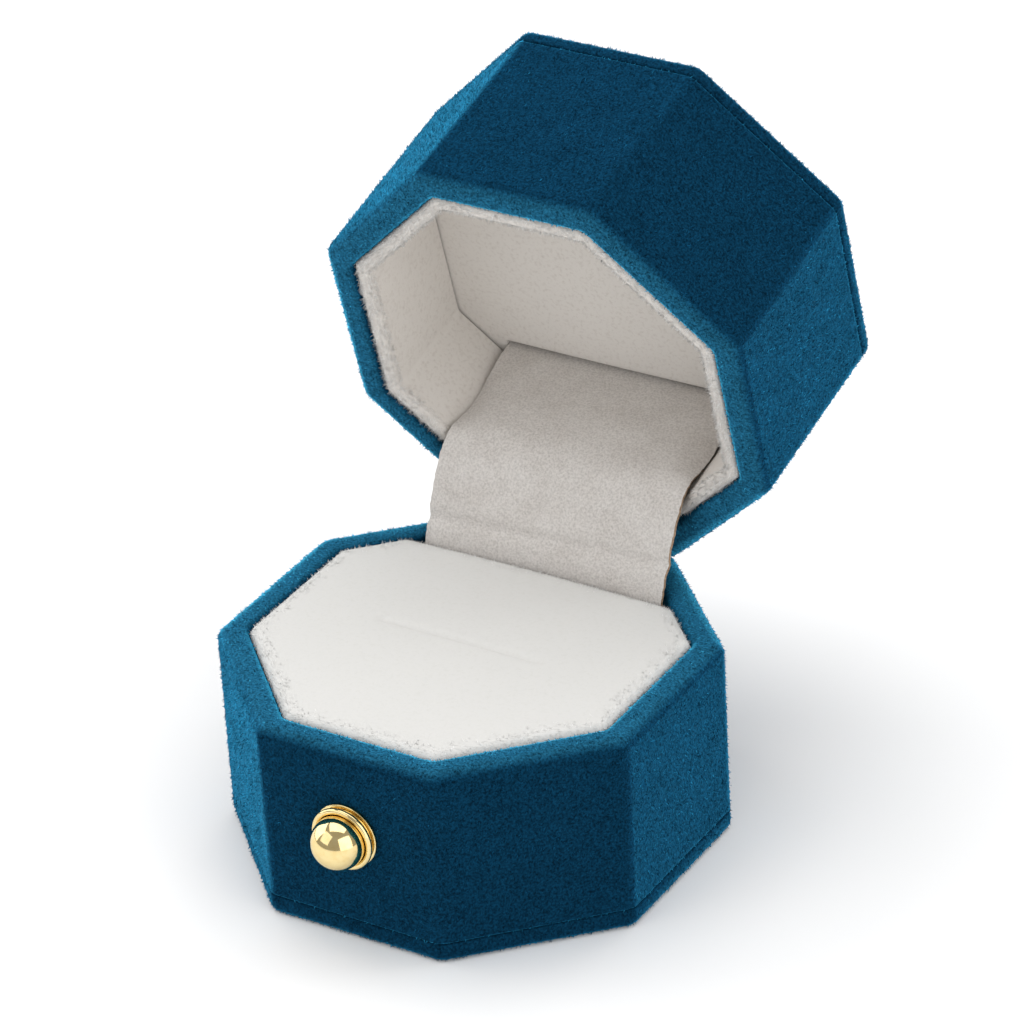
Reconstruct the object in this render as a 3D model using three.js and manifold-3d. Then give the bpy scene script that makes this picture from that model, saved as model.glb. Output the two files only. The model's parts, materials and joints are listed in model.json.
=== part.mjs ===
// An octagonal velvet ring box with a sprung lid hinge, a slotted ring pad and a gilt ball stud.
// Millimetres, +Z up. The origin is the centre of the base's underside, -Y is the front with the
// stud, and +Y is the back with the hinge. The lid is built closed, then opened about its hinge.
import * as THREE from "three";
import { mergeVertices } from "three/addons/utils/BufferGeometryUtils.js";
import Module from "manifold-3d";

const wasm = await Module();
wasm.setup();

// Overall sizes.
const acrossFlats = 58;
const baseHeight = 26.7;
const lidHeight = 28.7;
const openAngle = 75.5;
const rimGap = 0.2;

// Case walls. Each half is a plastic shell in a velvet cover, closed by a covered board plate.
const coverThickness = 0.7;
const shellWall = 1.6;
const assemblyGap = 0.3;
const rimRound = 1.2;
const lipRound = 0.5;
const coverLipDepth = 7;
const basePlateHeight = 2.6;
const lidPlateHeight = 2.2;

// Hinge.
const hingeInset = 2;
const hingeLength = 16;
const lidKnuckleLength = 8;
const knuckleGap = 0.2;
const barrelRadius = 1.2;
const pinRadius = 0.55;
const runningClearance = 0.05;
const pinHeadRadius = 0.9;
const pinHeadThickness = 0.3;
const leafThickness = 0.5;
const leafHeight = 10;
const reliefMargin = 2;
const rivetSpacing = 11;
const rivetDrop = 6;
const rivetRadius = 0.5;
const rivetHeadRadius = 1.1;
const rivetHeadThickness = 0.5;
const rivetClearance = 0.1;
const springThickness = 0.3;
const springTongueWidth = 5;
const springFootRise = 2;

// Insert tray, ring pad and strap.
const cardThickness = 0.5;
const hingeBayDepth = 7.9;
const trayRimDrop = 1.5;
const padDepth = 12;
const padCrown = 0.6;
const padEdgeRound = 1.8;
const plushThickness = 1;
const padSkirtDepth = 5;
const slotLength = 30;
const slotWidth = 1.2;
const slotDepth = 8;
const slotForward = 2;
const strapWidth = 34;
const strapThickness = 0.8;
const strapTuck = 8;

// Lid lining.
const ceilingDepth = 16.2;
const ceilingBoardThickness = 1.2;
const liningOpening = 9.3;
const lidStrapDepth = 12.5;
const strapRimOffset = 1;
const strapTabLength = 5;
const linerRecess = 0.3;

// Ball stud on the front.
const studDrop = 11.5;
const ballRadius = 2.95;
const ballStandOff = 3;
const collarRadius = 4.2;
const collarHeight = 1.4;
const collarLip = 0.7;
const collarWaist = 3.8;
const collarDishRadius = 3.4;
const collarHoleRadius = 2.2;
const collarFloor = 0.3;
const studNeckRadius = 1.5;
const shankRadius = 0.9;
const shankClearance = 0.2;
const retainerRadius = 2.2;
const retainerThickness = 0.5;

// Distances that follow from the sizes above. A flat is the distance from the middle to a flat side.
const outerFlat = acrossFlats / 2;
const coverInnerFlat = outerFlat - coverThickness;
const shellOuterFlat = coverInnerFlat - assemblyGap;
const shellInnerFlat = shellOuterFlat - shellWall;
const lipOuterFlat = shellInnerFlat - assemblyGap;
const lipInnerFlat = lipOuterFlat - coverThickness;
const liningFlat = lipInnerFlat - assemblyGap;
const skinAndGap = coverThickness + assemblyGap;
const pivotY = outerFlat - hingeInset;
const pivotRise = rimGap / 2;
const leafOuterY = shellInnerFlat - assemblyGap;
const leafInnerY = leafOuterY - leafThickness;
const springOuterY = leafInnerY - assemblyGap;
const springInnerY = springOuterY - springThickness;
const barrelSpace = barrelRadius + assemblyGap;
const bayY = shellInnerFlat - hingeBayDepth;
const trayBackY = bayY - cardThickness;
const strapBaseY = trayBackY - assemblyGap - strapThickness / 2;
const padBackY = strapBaseY - strapThickness / 2 - assemblyGap;
const padFlat = liningFlat - cardThickness - assemblyGap;
const strapLidY = shellInnerFlat - lidStrapDepth;
const ceilingBackY = strapLidY - strapThickness / 2 - assemblyGap;
const linerBackY = shellInnerFlat - liningOpening;
const span = 4 * acrossFlats;

const radialSteps = 32;
const ballSteps = 24;
const strapSteps = 28;
const degrees = Math.PI / 180;

const finishes = {
  velvet: { color: 0x14506f, roughness: 0.95, metalness: 0 },
  plastic: { color: 0x2b2b2d, roughness: 0.6, metalness: 0 },
  board: { color: 0x9c8a74, roughness: 0.9, metalness: 0 },
  card: { color: 0xb59a76, roughness: 0.9, metalness: 0 },
  foam: { color: 0xd8d6d0, roughness: 1, metalness: 0 },
  plush: { color: 0xefefed, roughness: 1, metalness: 0 },
  suede: { color: 0xc2bcb4, roughness: 0.95, metalness: 0 },
  gilt: { color: 0xd9b25a, roughness: 0.12, metalness: 1 },
  steel: { color: 0xa9a9a6, roughness: 0.35, metalness: 1 },
};

// Shape helpers.

// A section of [flat, height] points, taken round eight flat sides that face along X and Y.
function octagon(section) {
  const corner = 1 / Math.cos(Math.PI / 8);
  const points = section.map(([flat, z]) => new THREE.Vector2(flat * corner, z));
  const onAxis = section[0][0] === 0;
  if (!onAxis) points.push(points[0].clone());
  const geometry = new THREE.LatheGeometry(points, 8);
  geometry.rotateX(Math.PI / 2);
  geometry.rotateZ(Math.PI / 8);
  return geometry;
}

// A section that starts and ends at the middle: a solid octagonal plate or block.
function octagonPlate(flat, bottom, top) {
  return octagon([[0, bottom], [flat, bottom], [flat, top], [0, top]]);
}

function octagonTube(outer, inner, bottom, top) {
  return octagon([[outer, bottom], [outer, top], [inner, top], [inner, bottom]]);
}

// Points on a quarter circle of the section, from one angle to the next, in degrees.
function arc(centreFlat, centreZ, radius, from, to, steps = 4) {
  const points = [];
  for (let i = 0; i <= steps; i++) {
    const angle = (from + ((to - from) * i) / steps) * degrees;
    points.push([centreFlat + radius * Math.cos(angle), centreZ + radius * Math.sin(angle)]);
  }
  return points;
}

function block([x0, x1], [y0, y1], [z0, z1]) {
  const geometry = new THREE.BoxGeometry(x1 - x0, y1 - y0, z1 - z0);
  geometry.translate((x0 + x1) / 2, (y0 + y1) / 2, (z0 + z1) / 2);
  return geometry;
}

function rodAlongX(radius, [x0, x1], y, z) {
  const geometry = new THREE.CylinderGeometry(radius, radius, x1 - x0, radialSteps);
  geometry.rotateZ(Math.PI / 2);
  geometry.translate((x0 + x1) / 2, y, z);
  return geometry;
}

function rodAlongY(radius, [y0, y1], x, z) {
  const geometry = new THREE.CylinderGeometry(radius, radius, y1 - y0, radialSteps);
  geometry.translate(x, (y0 + y1) / 2, z);
  return geometry;
}

// A turned piece whose section is [radius, distance towards the front] on the stud's axis.
function turned(section, z) {
  const points = section.map(([radius, out]) => new THREE.Vector2(radius, out));
  if (section[0][0] > 0) points.push(points[0].clone());
  const geometry = new THREE.LatheGeometry(points, radialSteps);
  geometry.rotateX(Math.PI);
  geometry.translate(0, 0, z);
  return geometry;
}

function toSolid(geometry) {
  const bare = new THREE.BufferGeometry();
  bare.setAttribute("position", geometry.getAttribute("position"));
  bare.setIndex(geometry.index);
  const merged = mergeVertices(bare, 1e-4);
  return new wasm.Manifold(
    new wasm.Mesh({
      numProp: 3,
      vertProperties: merged.attributes.position.array,
      triVerts: new Uint32Array(merged.index.array),
    }),
  );
}

function toGeometry(made) {
  const { vertProperties, triVerts } = made.getMesh();
  const geometry = new THREE.BufferGeometry();
  geometry.setAttribute("position", new THREE.BufferAttribute(vertProperties, 3));
  geometry.setIndex(new THREE.BufferAttribute(triVerts, 1));
  return geometry;
}

function cut(geometry, ...tools) {
  return toGeometry(tools.reduce((made, tool) => made.subtract(toSolid(tool)), toSolid(geometry)));
}

function join(geometry, ...others) {
  return toGeometry(others.reduce((made, other) => made.add(toSolid(other)), toSolid(geometry)));
}

// Everything behind a plane across the box at y, as a tool for cutting.
function behind(y) {
  return block([-span, span], [y, span], [-span, span]);
}

function piece(name, geometry, finish) {
  geometry.deleteAttribute("uv");
  geometry.computeVertexNormals();
  const mesh = new THREE.Mesh(geometry, new THREE.MeshStandardMaterial(finishes[finish]));
  mesh.name = name;
  return mesh;
}

// The two halves of the case. Each is drawn with its plate at z = 0 and its rim at z = height, so
// the lid is the same drawing turned over.

// What the swing of the lid takes out of a half's back rim, down to a depth below the slope.
function swingWedge(height, depth) {
  const slope = (openAngle / 2 + reliefMargin) * degrees;
  const wedge = block([-span, span], [-depth, span], [0, span]);
  wedge.translate(0, 0, -depth);
  wedge.rotateX(-slope);
  wedge.translate(0, pivotY, height + pivotRise);
  return wedge;
}

// What the barrel and the pin's heads take out of the middle of the back rim.
function barrelNotch(height) {
  const pivotZ = height + pivotRise;
  const halfLength = hingeLength / 2 + pinHeadThickness + 2 * assemblyGap;
  const ends = [-halfLength, halfLength];
  const barrel = rodAlongX(barrelSpace, ends, pivotY, pivotZ);
  const notch = block(ends, [lipInnerFlat - coverThickness, pivotY], [pivotZ - barrelSpace, span]);
  return [barrel, notch];
}

function rivetPlaces() {
  return [-rivetSpacing / 2, rivetSpacing / 2];
}

function rivetHoles(height) {
  const z = height + pivotRise - rivetDrop;
  return rivetPlaces().map((x) => rodAlongY(rivetRadius + rivetClearance, [0, span], x, z));
}

function shell(height, plateHeight) {
  const tube = octagonTube(
    shellOuterFlat,
    shellInnerFlat,
    plateHeight + assemblyGap,
    height - skinAndGap,
  );
  const wedge = swingWedge(height, skinAndGap);
  return cut(tube, wedge, ...barrelNotch(height), ...rivetHoles(height));
}

// The velvet goes up the outside, over the rounded rim and down the inside of the wall.
function wallCover(height, plateHeight) {
  const bottom = plateHeight + assemblyGap;
  const lipBottom = height - coverLipDepth;
  const section = [
    [outerFlat, bottom],
    ...arc(outerFlat - rimRound, height - rimRound, rimRound, 0, 90),
    ...arc(lipInnerFlat + lipRound, height - lipRound, lipRound, 90, 180),
    [lipInnerFlat, lipBottom],
    [lipOuterFlat, lipBottom],
    [lipOuterFlat, bottom],
  ];
  const outside = cut(octagon(section), swingWedge(height, 0));
  const room = octagonTube(coverInnerFlat, lipOuterFlat, bottom - span, height - coverThickness);
  const inside = cut(room, swingWedge(height, coverThickness));
  const leafHalf = hingeLength / 2 + assemblyGap;
  const leafSpace = block([-leafHalf, leafHalf], [0, shellInnerFlat], [height - leafHeight, span]);
  return cut(outside, inside, ...barrelNotch(height), leafSpace);
}

function plateBoard(plateHeight) {
  return octagonPlate(shellOuterFlat, skinAndGap, plateHeight);
}

// The plate's velvet is a shallow tray that holds the board.
function plateCover(plateHeight) {
  return octagon([
    [0, 0],
    [outerFlat - lipRound, 0],
    [outerFlat, lipRound],
    [outerFlat, plateHeight],
    [coverInnerFlat, plateHeight],
    [coverInnerFlat, coverThickness],
    [0, coverThickness],
  ]);
}

// A leaf lies on the shell's inner face. Each knuckle is a bored barrel on a tab from the leaf.
function hingeLeaf(height, knuckles) {
  const pivotZ = height + pivotRise;
  const leafTop = pivotZ - barrelSpace;
  const half = hingeLength / 2;
  const plate = block([-half, half], [leafInnerY, leafOuterY], [pivotZ - leafHeight, leafTop]);
  const tabTop = pivotZ - barrelRadius + leafThickness;
  const added = knuckles.flatMap((ends) => [
    block(ends, [leafInnerY, leafOuterY], [leafTop - leafThickness, tabTop]),
    block(ends, [leafInnerY, pivotY], [pivotZ - barrelRadius, tabTop]),
    rodAlongX(barrelRadius, ends, pivotY, pivotZ),
  ]);
  const bore = rodAlongX(pinRadius + runningClearance, [-span, span], pivotY, pivotZ);
  return cut(join(plate, ...added), bore, ...rivetHoles(height));
}

// A rivet's head is inside, and its shank ends within the shell wall.
function rivet(x, height, headY) {
  const z = height + pivotRise - rivetDrop;
  const shankEnd = shellOuterFlat - rivetClearance;
  const head = rodAlongY(rivetHeadRadius, [headY - rivetHeadThickness, headY], x, z);
  return join(head, rodAlongY(rivetRadius, [headY - rivetHeadThickness / 2, shankEnd], x, z));
}

// The base and its contents.

function studHole(z) {
  return rodAlongY(shankRadius + shankClearance, [-span, 0], 0, z);
}

function hingePin() {
  const z = baseHeight + pivotRise;
  const headStart = hingeLength / 2 + runningClearance;
  const headEnd = headStart + pinHeadThickness;
  const rod = rodAlongX(pinRadius, [-headEnd, headEnd], pivotY, z);
  const heads = [[-headEnd, -headStart], [headStart, headEnd]];
  return join(rod, ...heads.map((ends) => rodAlongX(pinHeadRadius, ends, pivotY, z)));
}

// A flat spring under the base leaf's rivets. Its tongue bears on the lid's knuckle.
function snapSpring() {
  const pivotZ = baseHeight + pivotRise;
  const y = [springInnerY, springOuterY];
  const half = hingeLength / 2;
  const footTop = pivotZ - rivetDrop + springFootRise;
  const foot = block([-half, half], y, [pivotZ - leafHeight, footTop]);
  const tongueHalf = springTongueWidth / 2;
  const tongue = block([-tongueHalf, tongueHalf], y, [footTop - springFootRise, pivotZ]);
  return cut(join(foot, tongue), ...rivetHoles(baseHeight));
}

const trayFloorTop = baseHeight - padDepth - assemblyGap;
const trayFloorBottom = trayFloorTop - cardThickness;

// The tray is an octagonal card cup with a straight back wall that leaves a bay for the hinge.
function insertTray() {
  const top = baseHeight - trayRimDrop;
  const outside = cut(octagonPlate(liningFlat, trayFloorBottom, top), behind(bayY));
  const inside = octagonPlate(liningFlat - cardThickness, trayFloorTop, top + cardThickness);
  return cut(outside, cut(inside, behind(trayBackY)));
}

function foamRiser() {
  const bottom = basePlateHeight + assemblyGap;
  const foam = octagonPlate(liningFlat, bottom, trayFloorBottom - assemblyGap);
  return cut(foam, behind(bayY));
}

function slotCutter(clearance, depth) {
  const x = slotLength / 2 + clearance;
  const y = slotWidth / 2 + clearance;
  return block([-x, x], [-slotForward - y, -slotForward + y], [baseHeight - depth, span]);
}

function padFoam() {
  const flat = padFlat - plushThickness - assemblyGap;
  const top = baseHeight - padEdgeRound - assemblyGap;
  const foam = octagonPlate(flat, baseHeight - padDepth, top);
  const space = plushThickness + assemblyGap;
  return cut(foam, behind(padBackY - space), slotCutter(space, slotDepth + space));
}

// The plush is a crowned cap over the foam, tucked down both sides of the ring slot.
function padPlush() {
  const edge = baseHeight - padEdgeRound;
  const skirt = baseHeight - padSkirtDepth;
  const cap = cut(
    octagon([
      [0, skirt],
      [padFlat, skirt],
      ...arc(padFlat - padEdgeRound, edge, padEdgeRound, 0, 90),
      [0, baseHeight + padCrown],
    ]),
    behind(padBackY),
  );
  const hollow = cut(
    octagonPlate(padFlat - plushThickness, skirt - plushThickness, edge),
    behind(padBackY - plushThickness),
  );
  const flaps = block(
    [-slotLength / 2 - plushThickness, slotLength / 2 + plushThickness],
    [-slotForward - slotWidth / 2 - plushThickness, -slotForward + slotWidth / 2 + plushThickness],
    [baseHeight - slotDepth, edge + plushThickness],
  );
  return cut(join(cut(cap, hollow), flaps), slotCutter(0, slotDepth + plushThickness));
}

// The stud: a ball on a neck and shank, a spool-shaped collar round it and a push-on retainer.

function ballStud() {
  const z = baseHeight - studDrop;
  const centre = outerFlat + ballStandOff;
  const neckAngle = Math.asin(studNeckRadius / ballRadius) / degrees;
  const shankTip = shellInnerFlat - assemblyGap - retainerThickness - assemblyGap;
  const neckStart = outerFlat + assemblyGap;
  const section = [
    [0, shankTip],
    [shankRadius, shankTip],
    [shankRadius, neckStart],
    [studNeckRadius, neckStart],
    ...arc(0, centre, ballRadius, neckAngle - 90, 90, ballSteps).slice(0, -1),
    [0, centre + ballRadius],
  ];
  return turned(section, z);
}

function studCollar() {
  const back = outerFlat + assemblyGap;
  const front = back + collarHeight;
  const lip = collarLip / 2;
  const floor = back + collarFloor;
  return turned(
    [
      [collarHoleRadius, back],
      [collarRadius, back],
      [collarRadius, floor],
      [collarWaist, floor],
      [collarWaist, front - collarLip],
      ...arc(collarRadius - lip, front - lip, lip, -90, 90, 8),
      [collarDishRadius, front - lip],
      [collarHoleRadius, floor],
    ],
    baseHeight - studDrop,
  );
}

function studRetainer() {
  const front = shellInnerFlat - assemblyGap;
  const hole = shankRadius + shankClearance;
  return turned(
    [
      [hole, front - retainerThickness],
      [retainerRadius, front - retainerThickness],
      [retainerRadius, front],
      [hole, front],
    ],
    baseHeight - studDrop,
  );
}

// The strap: one strip of suede from the pocket behind the pad, over the hinge, to the lid ceiling.

// Where a point of the closed lid, given by its y and its height over the lid rim, lies when open.
function whenOpen(y, rise) {
  const turn = -openAngle * degrees;
  const dy = y - pivotY;
  const dz = rise + pivotRise;
  return new THREE.Vector3(
    pivotY + dy * Math.cos(turn) - dz * Math.sin(turn),
    baseHeight + pivotRise + dy * Math.sin(turn) + dz * Math.cos(turn),
    0,
  );
}

function hingeStrap() {
  const flatFrom = ceilingDepth / 3;
  const route = new THREE.CatmullRomCurve3([
    new THREE.Vector3(strapBaseY, baseHeight - strapTuck, 0),
    new THREE.Vector3(strapBaseY, baseHeight - strapTuck / 2, 0),
    new THREE.Vector3(strapBaseY, baseHeight - strapThickness, 0),
    whenOpen(strapLidY + strapRimOffset, 0),
    whenOpen(strapLidY, flatFrom),
    whenOpen(strapLidY, 2 * flatFrom),
    whenOpen(strapLidY, ceilingDepth + strapTabLength),
  ], false, "centripetal");
  const near = [];
  const far = [];
  for (let i = 0; i <= strapSteps; i++) {
    const at = route.getPoint(i / strapSteps);
    const along = route.getTangent(i / strapSteps);
    const side = new THREE.Vector2(along.y, -along.x).multiplyScalar(strapThickness / 2);
    near.push(new THREE.Vector2(at.x, at.y).add(side));
    far.unshift(new THREE.Vector2(at.x, at.y).sub(side));
  }
  const outline = new THREE.Shape([...near, ...far]);
  const geometry = new THREE.ExtrudeGeometry(outline, { depth: strapWidth, bevelEnabled: false });
  geometry.translate(0, 0, -strapWidth / 2);
  const axes = new THREE.Matrix4().makeBasis(
    new THREE.Vector3(0, 1, 0),
    new THREE.Vector3(0, 0, 1),
    new THREE.Vector3(1, 0, 0),
  );
  return geometry.applyMatrix4(axes);
}

// The lid's lining, in the turned-over drawing: the rim is at z = lidHeight.

const ceilingFace = lidHeight - ceilingDepth;
const plushLidFlat = liningFlat - cardThickness - assemblyGap;

function linerCard() {
  const top = lidHeight - linerRecess - plushThickness - assemblyGap;
  const tube = octagonTube(liningFlat, liningFlat - cardThickness, ceilingFace + assemblyGap, top);
  return cut(tube, behind(linerBackY));
}

// A plush collar with a lip that hides the card's edge.
function linerPlush() {
  const inner = plushLidFlat - plushThickness;
  const edge = lidHeight - linerRecess;
  const round = plushThickness / 2;
  const section = [
    [plushLidFlat, ceilingFace + assemblyGap],
    [plushLidFlat, edge - plushThickness],
    [liningFlat, edge - plushThickness],
    ...arc(liningFlat - round, edge - round, round, 0, 90),
    ...arc(inner + round, edge - round, round, 90, 180),
    [inner, ceilingFace + assemblyGap],
  ];
  return cut(octagon(section), behind(linerBackY));
}

function ceilingPlush() {
  return cut(octagonPlate(liningFlat, ceilingFace - plushThickness, ceilingFace), behind(ceilingBackY));
}

const ceilingBoardTop = ceilingFace - plushThickness - assemblyGap;
const ceilingBoardBottom = ceilingBoardTop - ceilingBoardThickness;

function ceilingBoard() {
  return cut(octagonPlate(liningFlat, ceilingBoardBottom, ceilingBoardTop), behind(ceilingBackY));
}

function lidSpacer() {
  const bottom = lidPlateHeight + assemblyGap;
  const foam = octagonPlate(liningFlat, bottom, ceilingBoardBottom - assemblyGap);
  return cut(foam, behind(ceilingBackY));
}

// Assembly.

function buildBase() {
  const base = new THREE.Group();
  const studZ = baseHeight - studDrop;
  const outerKnuckle = [lidKnuckleLength / 2 + knuckleGap, hingeLength / 2];
  const knuckles = [outerKnuckle, outerKnuckle.map((x) => -x).reverse()];
  const headY = springInnerY - assemblyGap;
  base.add(
    piece("base_shell", cut(shell(baseHeight, basePlateHeight), studHole(studZ)), "plastic"),
    piece("base_velvet", cut(wallCover(baseHeight, basePlateHeight), studHole(studZ)), "velvet"),
    piece("bottom_board", plateBoard(basePlateHeight), "board"),
    piece("bottom_velvet", plateCover(basePlateHeight), "velvet"),
    piece("insert_tray", insertTray(), "card"),
    piece("foam_riser", foamRiser(), "foam"),
    piece("ring_pad_foam", padFoam(), "foam"),
    piece("ring_pad_plush", padPlush(), "plush"),
    piece("stud_ball", ballStud(), "gilt"),
    piece("stud_collar", studCollar(), "gilt"),
    piece("stud_retainer", studRetainer(), "steel"),
    piece("hinge_leaf_base", hingeLeaf(baseHeight, knuckles), "steel"),
    piece("hinge_pin", hingePin(), "steel"),
    piece("hinge_spring", snapSpring(), "steel"),
    piece("hinge_strap", hingeStrap(), "suede"),
  );
  rivetPlaces().forEach((x, i) => {
    base.add(piece("base_rivet_" + (i + 1), rivet(x, baseHeight, headY), "steel"));
  });
  return base;
}

function buildLid() {
  const lid = new THREE.Group();
  const knuckle = [-lidKnuckleLength / 2, lidKnuckleLength / 2];
  const headY = leafInnerY - assemblyGap;
  lid.add(
    piece("lid_shell", shell(lidHeight, lidPlateHeight), "plastic"),
    piece("lid_velvet", wallCover(lidHeight, lidPlateHeight), "velvet"),
    piece("top_board", plateBoard(lidPlateHeight), "board"),
    piece("top_velvet", plateCover(lidPlateHeight), "velvet"),
    piece("liner_card", linerCard(), "card"),
    piece("liner_plush", linerPlush(), "plush"),
    piece("ceiling_plush", ceilingPlush(), "plush"),
    piece("ceiling_board", ceilingBoard(), "board"),
    piece("lid_spacer", lidSpacer(), "foam"),
    piece("hinge_leaf_lid", hingeLeaf(lidHeight, [knuckle]), "steel"),
  );
  rivetPlaces().forEach((x, i) => {
    lid.add(piece("lid_rivet_" + (i + 1), rivet(x, lidHeight, headY), "steel"));
  });
  lid.rotation.y = Math.PI;
  lid.position.set(0, -pivotY, lidHeight + pivotRise);
  const swing = new THREE.Group();
  swing.add(lid);
  swing.position.set(0, pivotY, baseHeight + pivotRise);
  swing.rotation.x = -openAngle * degrees;
  return swing;
}

const ringBox = new THREE.Group();
ringBox.add(buildBase(), buildLid());
export default ringBox;
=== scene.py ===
"""Looks of an octagonal velvet ring box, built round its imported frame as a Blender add-on.

Lengths in the sizes below are metres, and every piece is modelled in the row's own frame:
+Z up, -Y the front with the ball stud, +Y the hinge. The lid is drawn closed and then laid
open, because that is how the frame has it at rest.
"""
import json
import math

import bmesh
import bpy
import numpy as np
from mathutils import Matrix, Vector


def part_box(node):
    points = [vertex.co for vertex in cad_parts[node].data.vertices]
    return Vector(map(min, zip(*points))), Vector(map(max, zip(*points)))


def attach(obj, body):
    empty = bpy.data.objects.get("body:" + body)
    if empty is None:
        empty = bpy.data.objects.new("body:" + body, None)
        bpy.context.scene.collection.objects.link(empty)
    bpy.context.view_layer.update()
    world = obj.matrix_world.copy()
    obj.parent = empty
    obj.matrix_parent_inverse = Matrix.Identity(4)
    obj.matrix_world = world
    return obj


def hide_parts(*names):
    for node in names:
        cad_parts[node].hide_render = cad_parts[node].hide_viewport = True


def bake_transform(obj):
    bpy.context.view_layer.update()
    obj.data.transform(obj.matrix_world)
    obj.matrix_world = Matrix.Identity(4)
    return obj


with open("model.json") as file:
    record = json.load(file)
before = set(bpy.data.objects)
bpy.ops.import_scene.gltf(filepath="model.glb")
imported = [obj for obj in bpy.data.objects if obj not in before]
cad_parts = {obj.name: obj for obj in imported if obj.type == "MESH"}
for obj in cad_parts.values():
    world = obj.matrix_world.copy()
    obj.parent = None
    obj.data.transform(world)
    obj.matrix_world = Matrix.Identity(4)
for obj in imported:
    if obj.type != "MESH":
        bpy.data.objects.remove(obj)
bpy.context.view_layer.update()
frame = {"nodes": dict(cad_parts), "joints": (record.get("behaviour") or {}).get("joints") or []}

bl_info = {
    "name": "Velvet ring box",
    "version": (1, 0, 0),
    "blender": (4, 5, 0),
    "location": "View3D > Sidebar > Ring box",
    "description": "Velvet, plush, suede and gilt pieces of an octagonal ring box",
    "category": "Add Mesh",
}

MM = 0.001

# The frame's own sizes.
HINGE = frame["joints"][0]
PIVOT = Vector(HINGE["pos_m"])
SWING = math.radians(HINGE["range_deg"][1])
OPENED = Matrix.Translation(PIVOT) @ Matrix.Rotation(-SWING, 4, "X") @ Matrix.Translation(-PIVOT)
CLOSED = OPENED.inverted()


def closed_box(node):
    """A lid node's lowest and highest corners with the lid shut."""
    corners = np.array([CLOSED @ v.co for v in frame["nodes"][node].data.vertices])
    return Vector(corners.min(0)), Vector(corners.max(0))


OUTER_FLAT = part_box("base_velvet")[1].x
BASE_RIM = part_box("base_velvet")[1].z
BASE_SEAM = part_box("bottom_velvet")[1].z
LID_RIM = closed_box("lid_velvet")[0].z
LID_TOP = closed_box("top_velvet")[1].z
LID_SEAM = closed_box("top_velvet")[0].z
TRAY_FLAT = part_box("insert_tray")[1].x
PAD_LOW, PAD_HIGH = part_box("ring_pad_plush")
LINER_LOW, LINER_HIGH = closed_box("liner_plush")
CEILING_LOW, CEILING_HIGH = closed_box("ceiling_plush")
BALL_LOW, BALL_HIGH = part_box("stud_ball")
COLLAR_LOW, COLLAR_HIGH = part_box("stud_collar")
STRAP_LOW, STRAP_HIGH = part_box("hinge_strap")
NOTCH_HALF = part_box("hinge_pin")[1].x + 0.6 * MM

# The lid half is drawn like the base half, plate down and rim up, and turned over.
LID_PLACE = OPENED @ Matrix.Translation((0, 0, LID_TOP)) @ Matrix.Rotation(math.pi, 4, "Y")
SIDES = 8
CORNER = 1 / math.cos(math.pi / SIDES)


# Sizes and colours that a user would change.

def length(label, words, value):
    """A setting in metres."""
    return bpy.props.FloatProperty(
        name=label, description=words, default=value, min=0, unit="LENGTH", precision=5
    )


def hex_colour(label, words, value):
    """A setting that holds an sRGB colour."""
    return bpy.props.StringProperty(name=label, description=words, default=value)


class VelvetSettings(bpy.types.PropertyGroup):
    """The velvet covers."""

    cover: length("Cover", "Thickness of the velvet with its backing", 0.7 * MM)
    rim_round: length("Rim rounding", "Radius of the rim's outer edge", 1.4 * MM)
    lip_round: length("Lip rounding", "Radius of the rim's inner edge", 0.8 * MM)
    corner_round: length("Corner rounding", "Radius of the upright corners", 1.6 * MM)
    plate_round: length("Plate rounding", "Radius of the plate's outer edge", 1.1 * MM)
    seam_round: length("Seam rounding", "Radius of the edges along the seam", 0.25 * MM)
    nap_length: length("Nap length", "Length of a velvet fibre", 0.44 * MM)
    nap_width: length("Nap width", "Width of a drawn tuft of fibres", 0.17 * MM)
    nap_per_mm2: bpy.props.FloatProperty(
        name="Nap density", description="Drawn tufts on a square millimetre", default=6.8, min=0
    )
    # deep, middle and sheen are blended by the angle to the eye: a painted sheen that brightens velvet
    # seen at a slant.
    deep: hex_colour("Deep colour", "Colour that faces the eye", "#0b3d5a")
    middle: hex_colour("Middle colour", "Colour seen at a slant", "#0e486a")
    sheen: hex_colour("Sheen colour", "Colour seen along the surface", "#309bcb")


class PlushSettings(bpy.types.PropertyGroup):
    """The white plush of the pad and the lid's lining."""

    pile_length: length("Pile length", "Length of a plush fibre", 0.75 * MM)
    pile_width: length("Pile width", "Width of a drawn tuft", 0.1 * MM)
    pile_per_mm2: bpy.props.FloatProperty(
        name="Pile density", description="Drawn tufts on a square millimetre", default=12, min=0
    )
    crown: length("Crown", "Height of the pad's middle over its edge", 0.5 * MM)
    proud: length("Proud edge", "Height of the pad's edge over the rim", 0.2 * MM)
    roll_round: length("Roll rounding", "Radius of the pad's upper edge", 1.1 * MM)
    slot_half: length("Slot half length", "Half the length of the ring slot", 12 * MM)
    slot_depth: length("Slot depth", "How deep the closed ring slot dips", 0.28 * MM)
    slot_mouth: length("Slot mouth", "How far each side of the slot rolls over", 0.4 * MM)
    slot_y: bpy.props.FloatProperty(
        name="Slot place", description="Slot's place front to back", default=-2 * MM, unit="LENGTH"
    )
    pad_light: hex_colour("Pad colour", "Colour of the ring pad", "#dad9d6")
    pad_shade: hex_colour("Pad root colour", "Colour deep in the pad's pile", "#d5d4d0")
    # The lining is the pad's white plush drawn darker and warmer, as painted shade inside the lid.
    liner_light: hex_colour("Liner colour", "Colour of the lid's lining", "#dbd6d0")
    liner_shade: hex_colour("Liner root colour", "Colour deep in the lining's pile", "#cac3bc")


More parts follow.
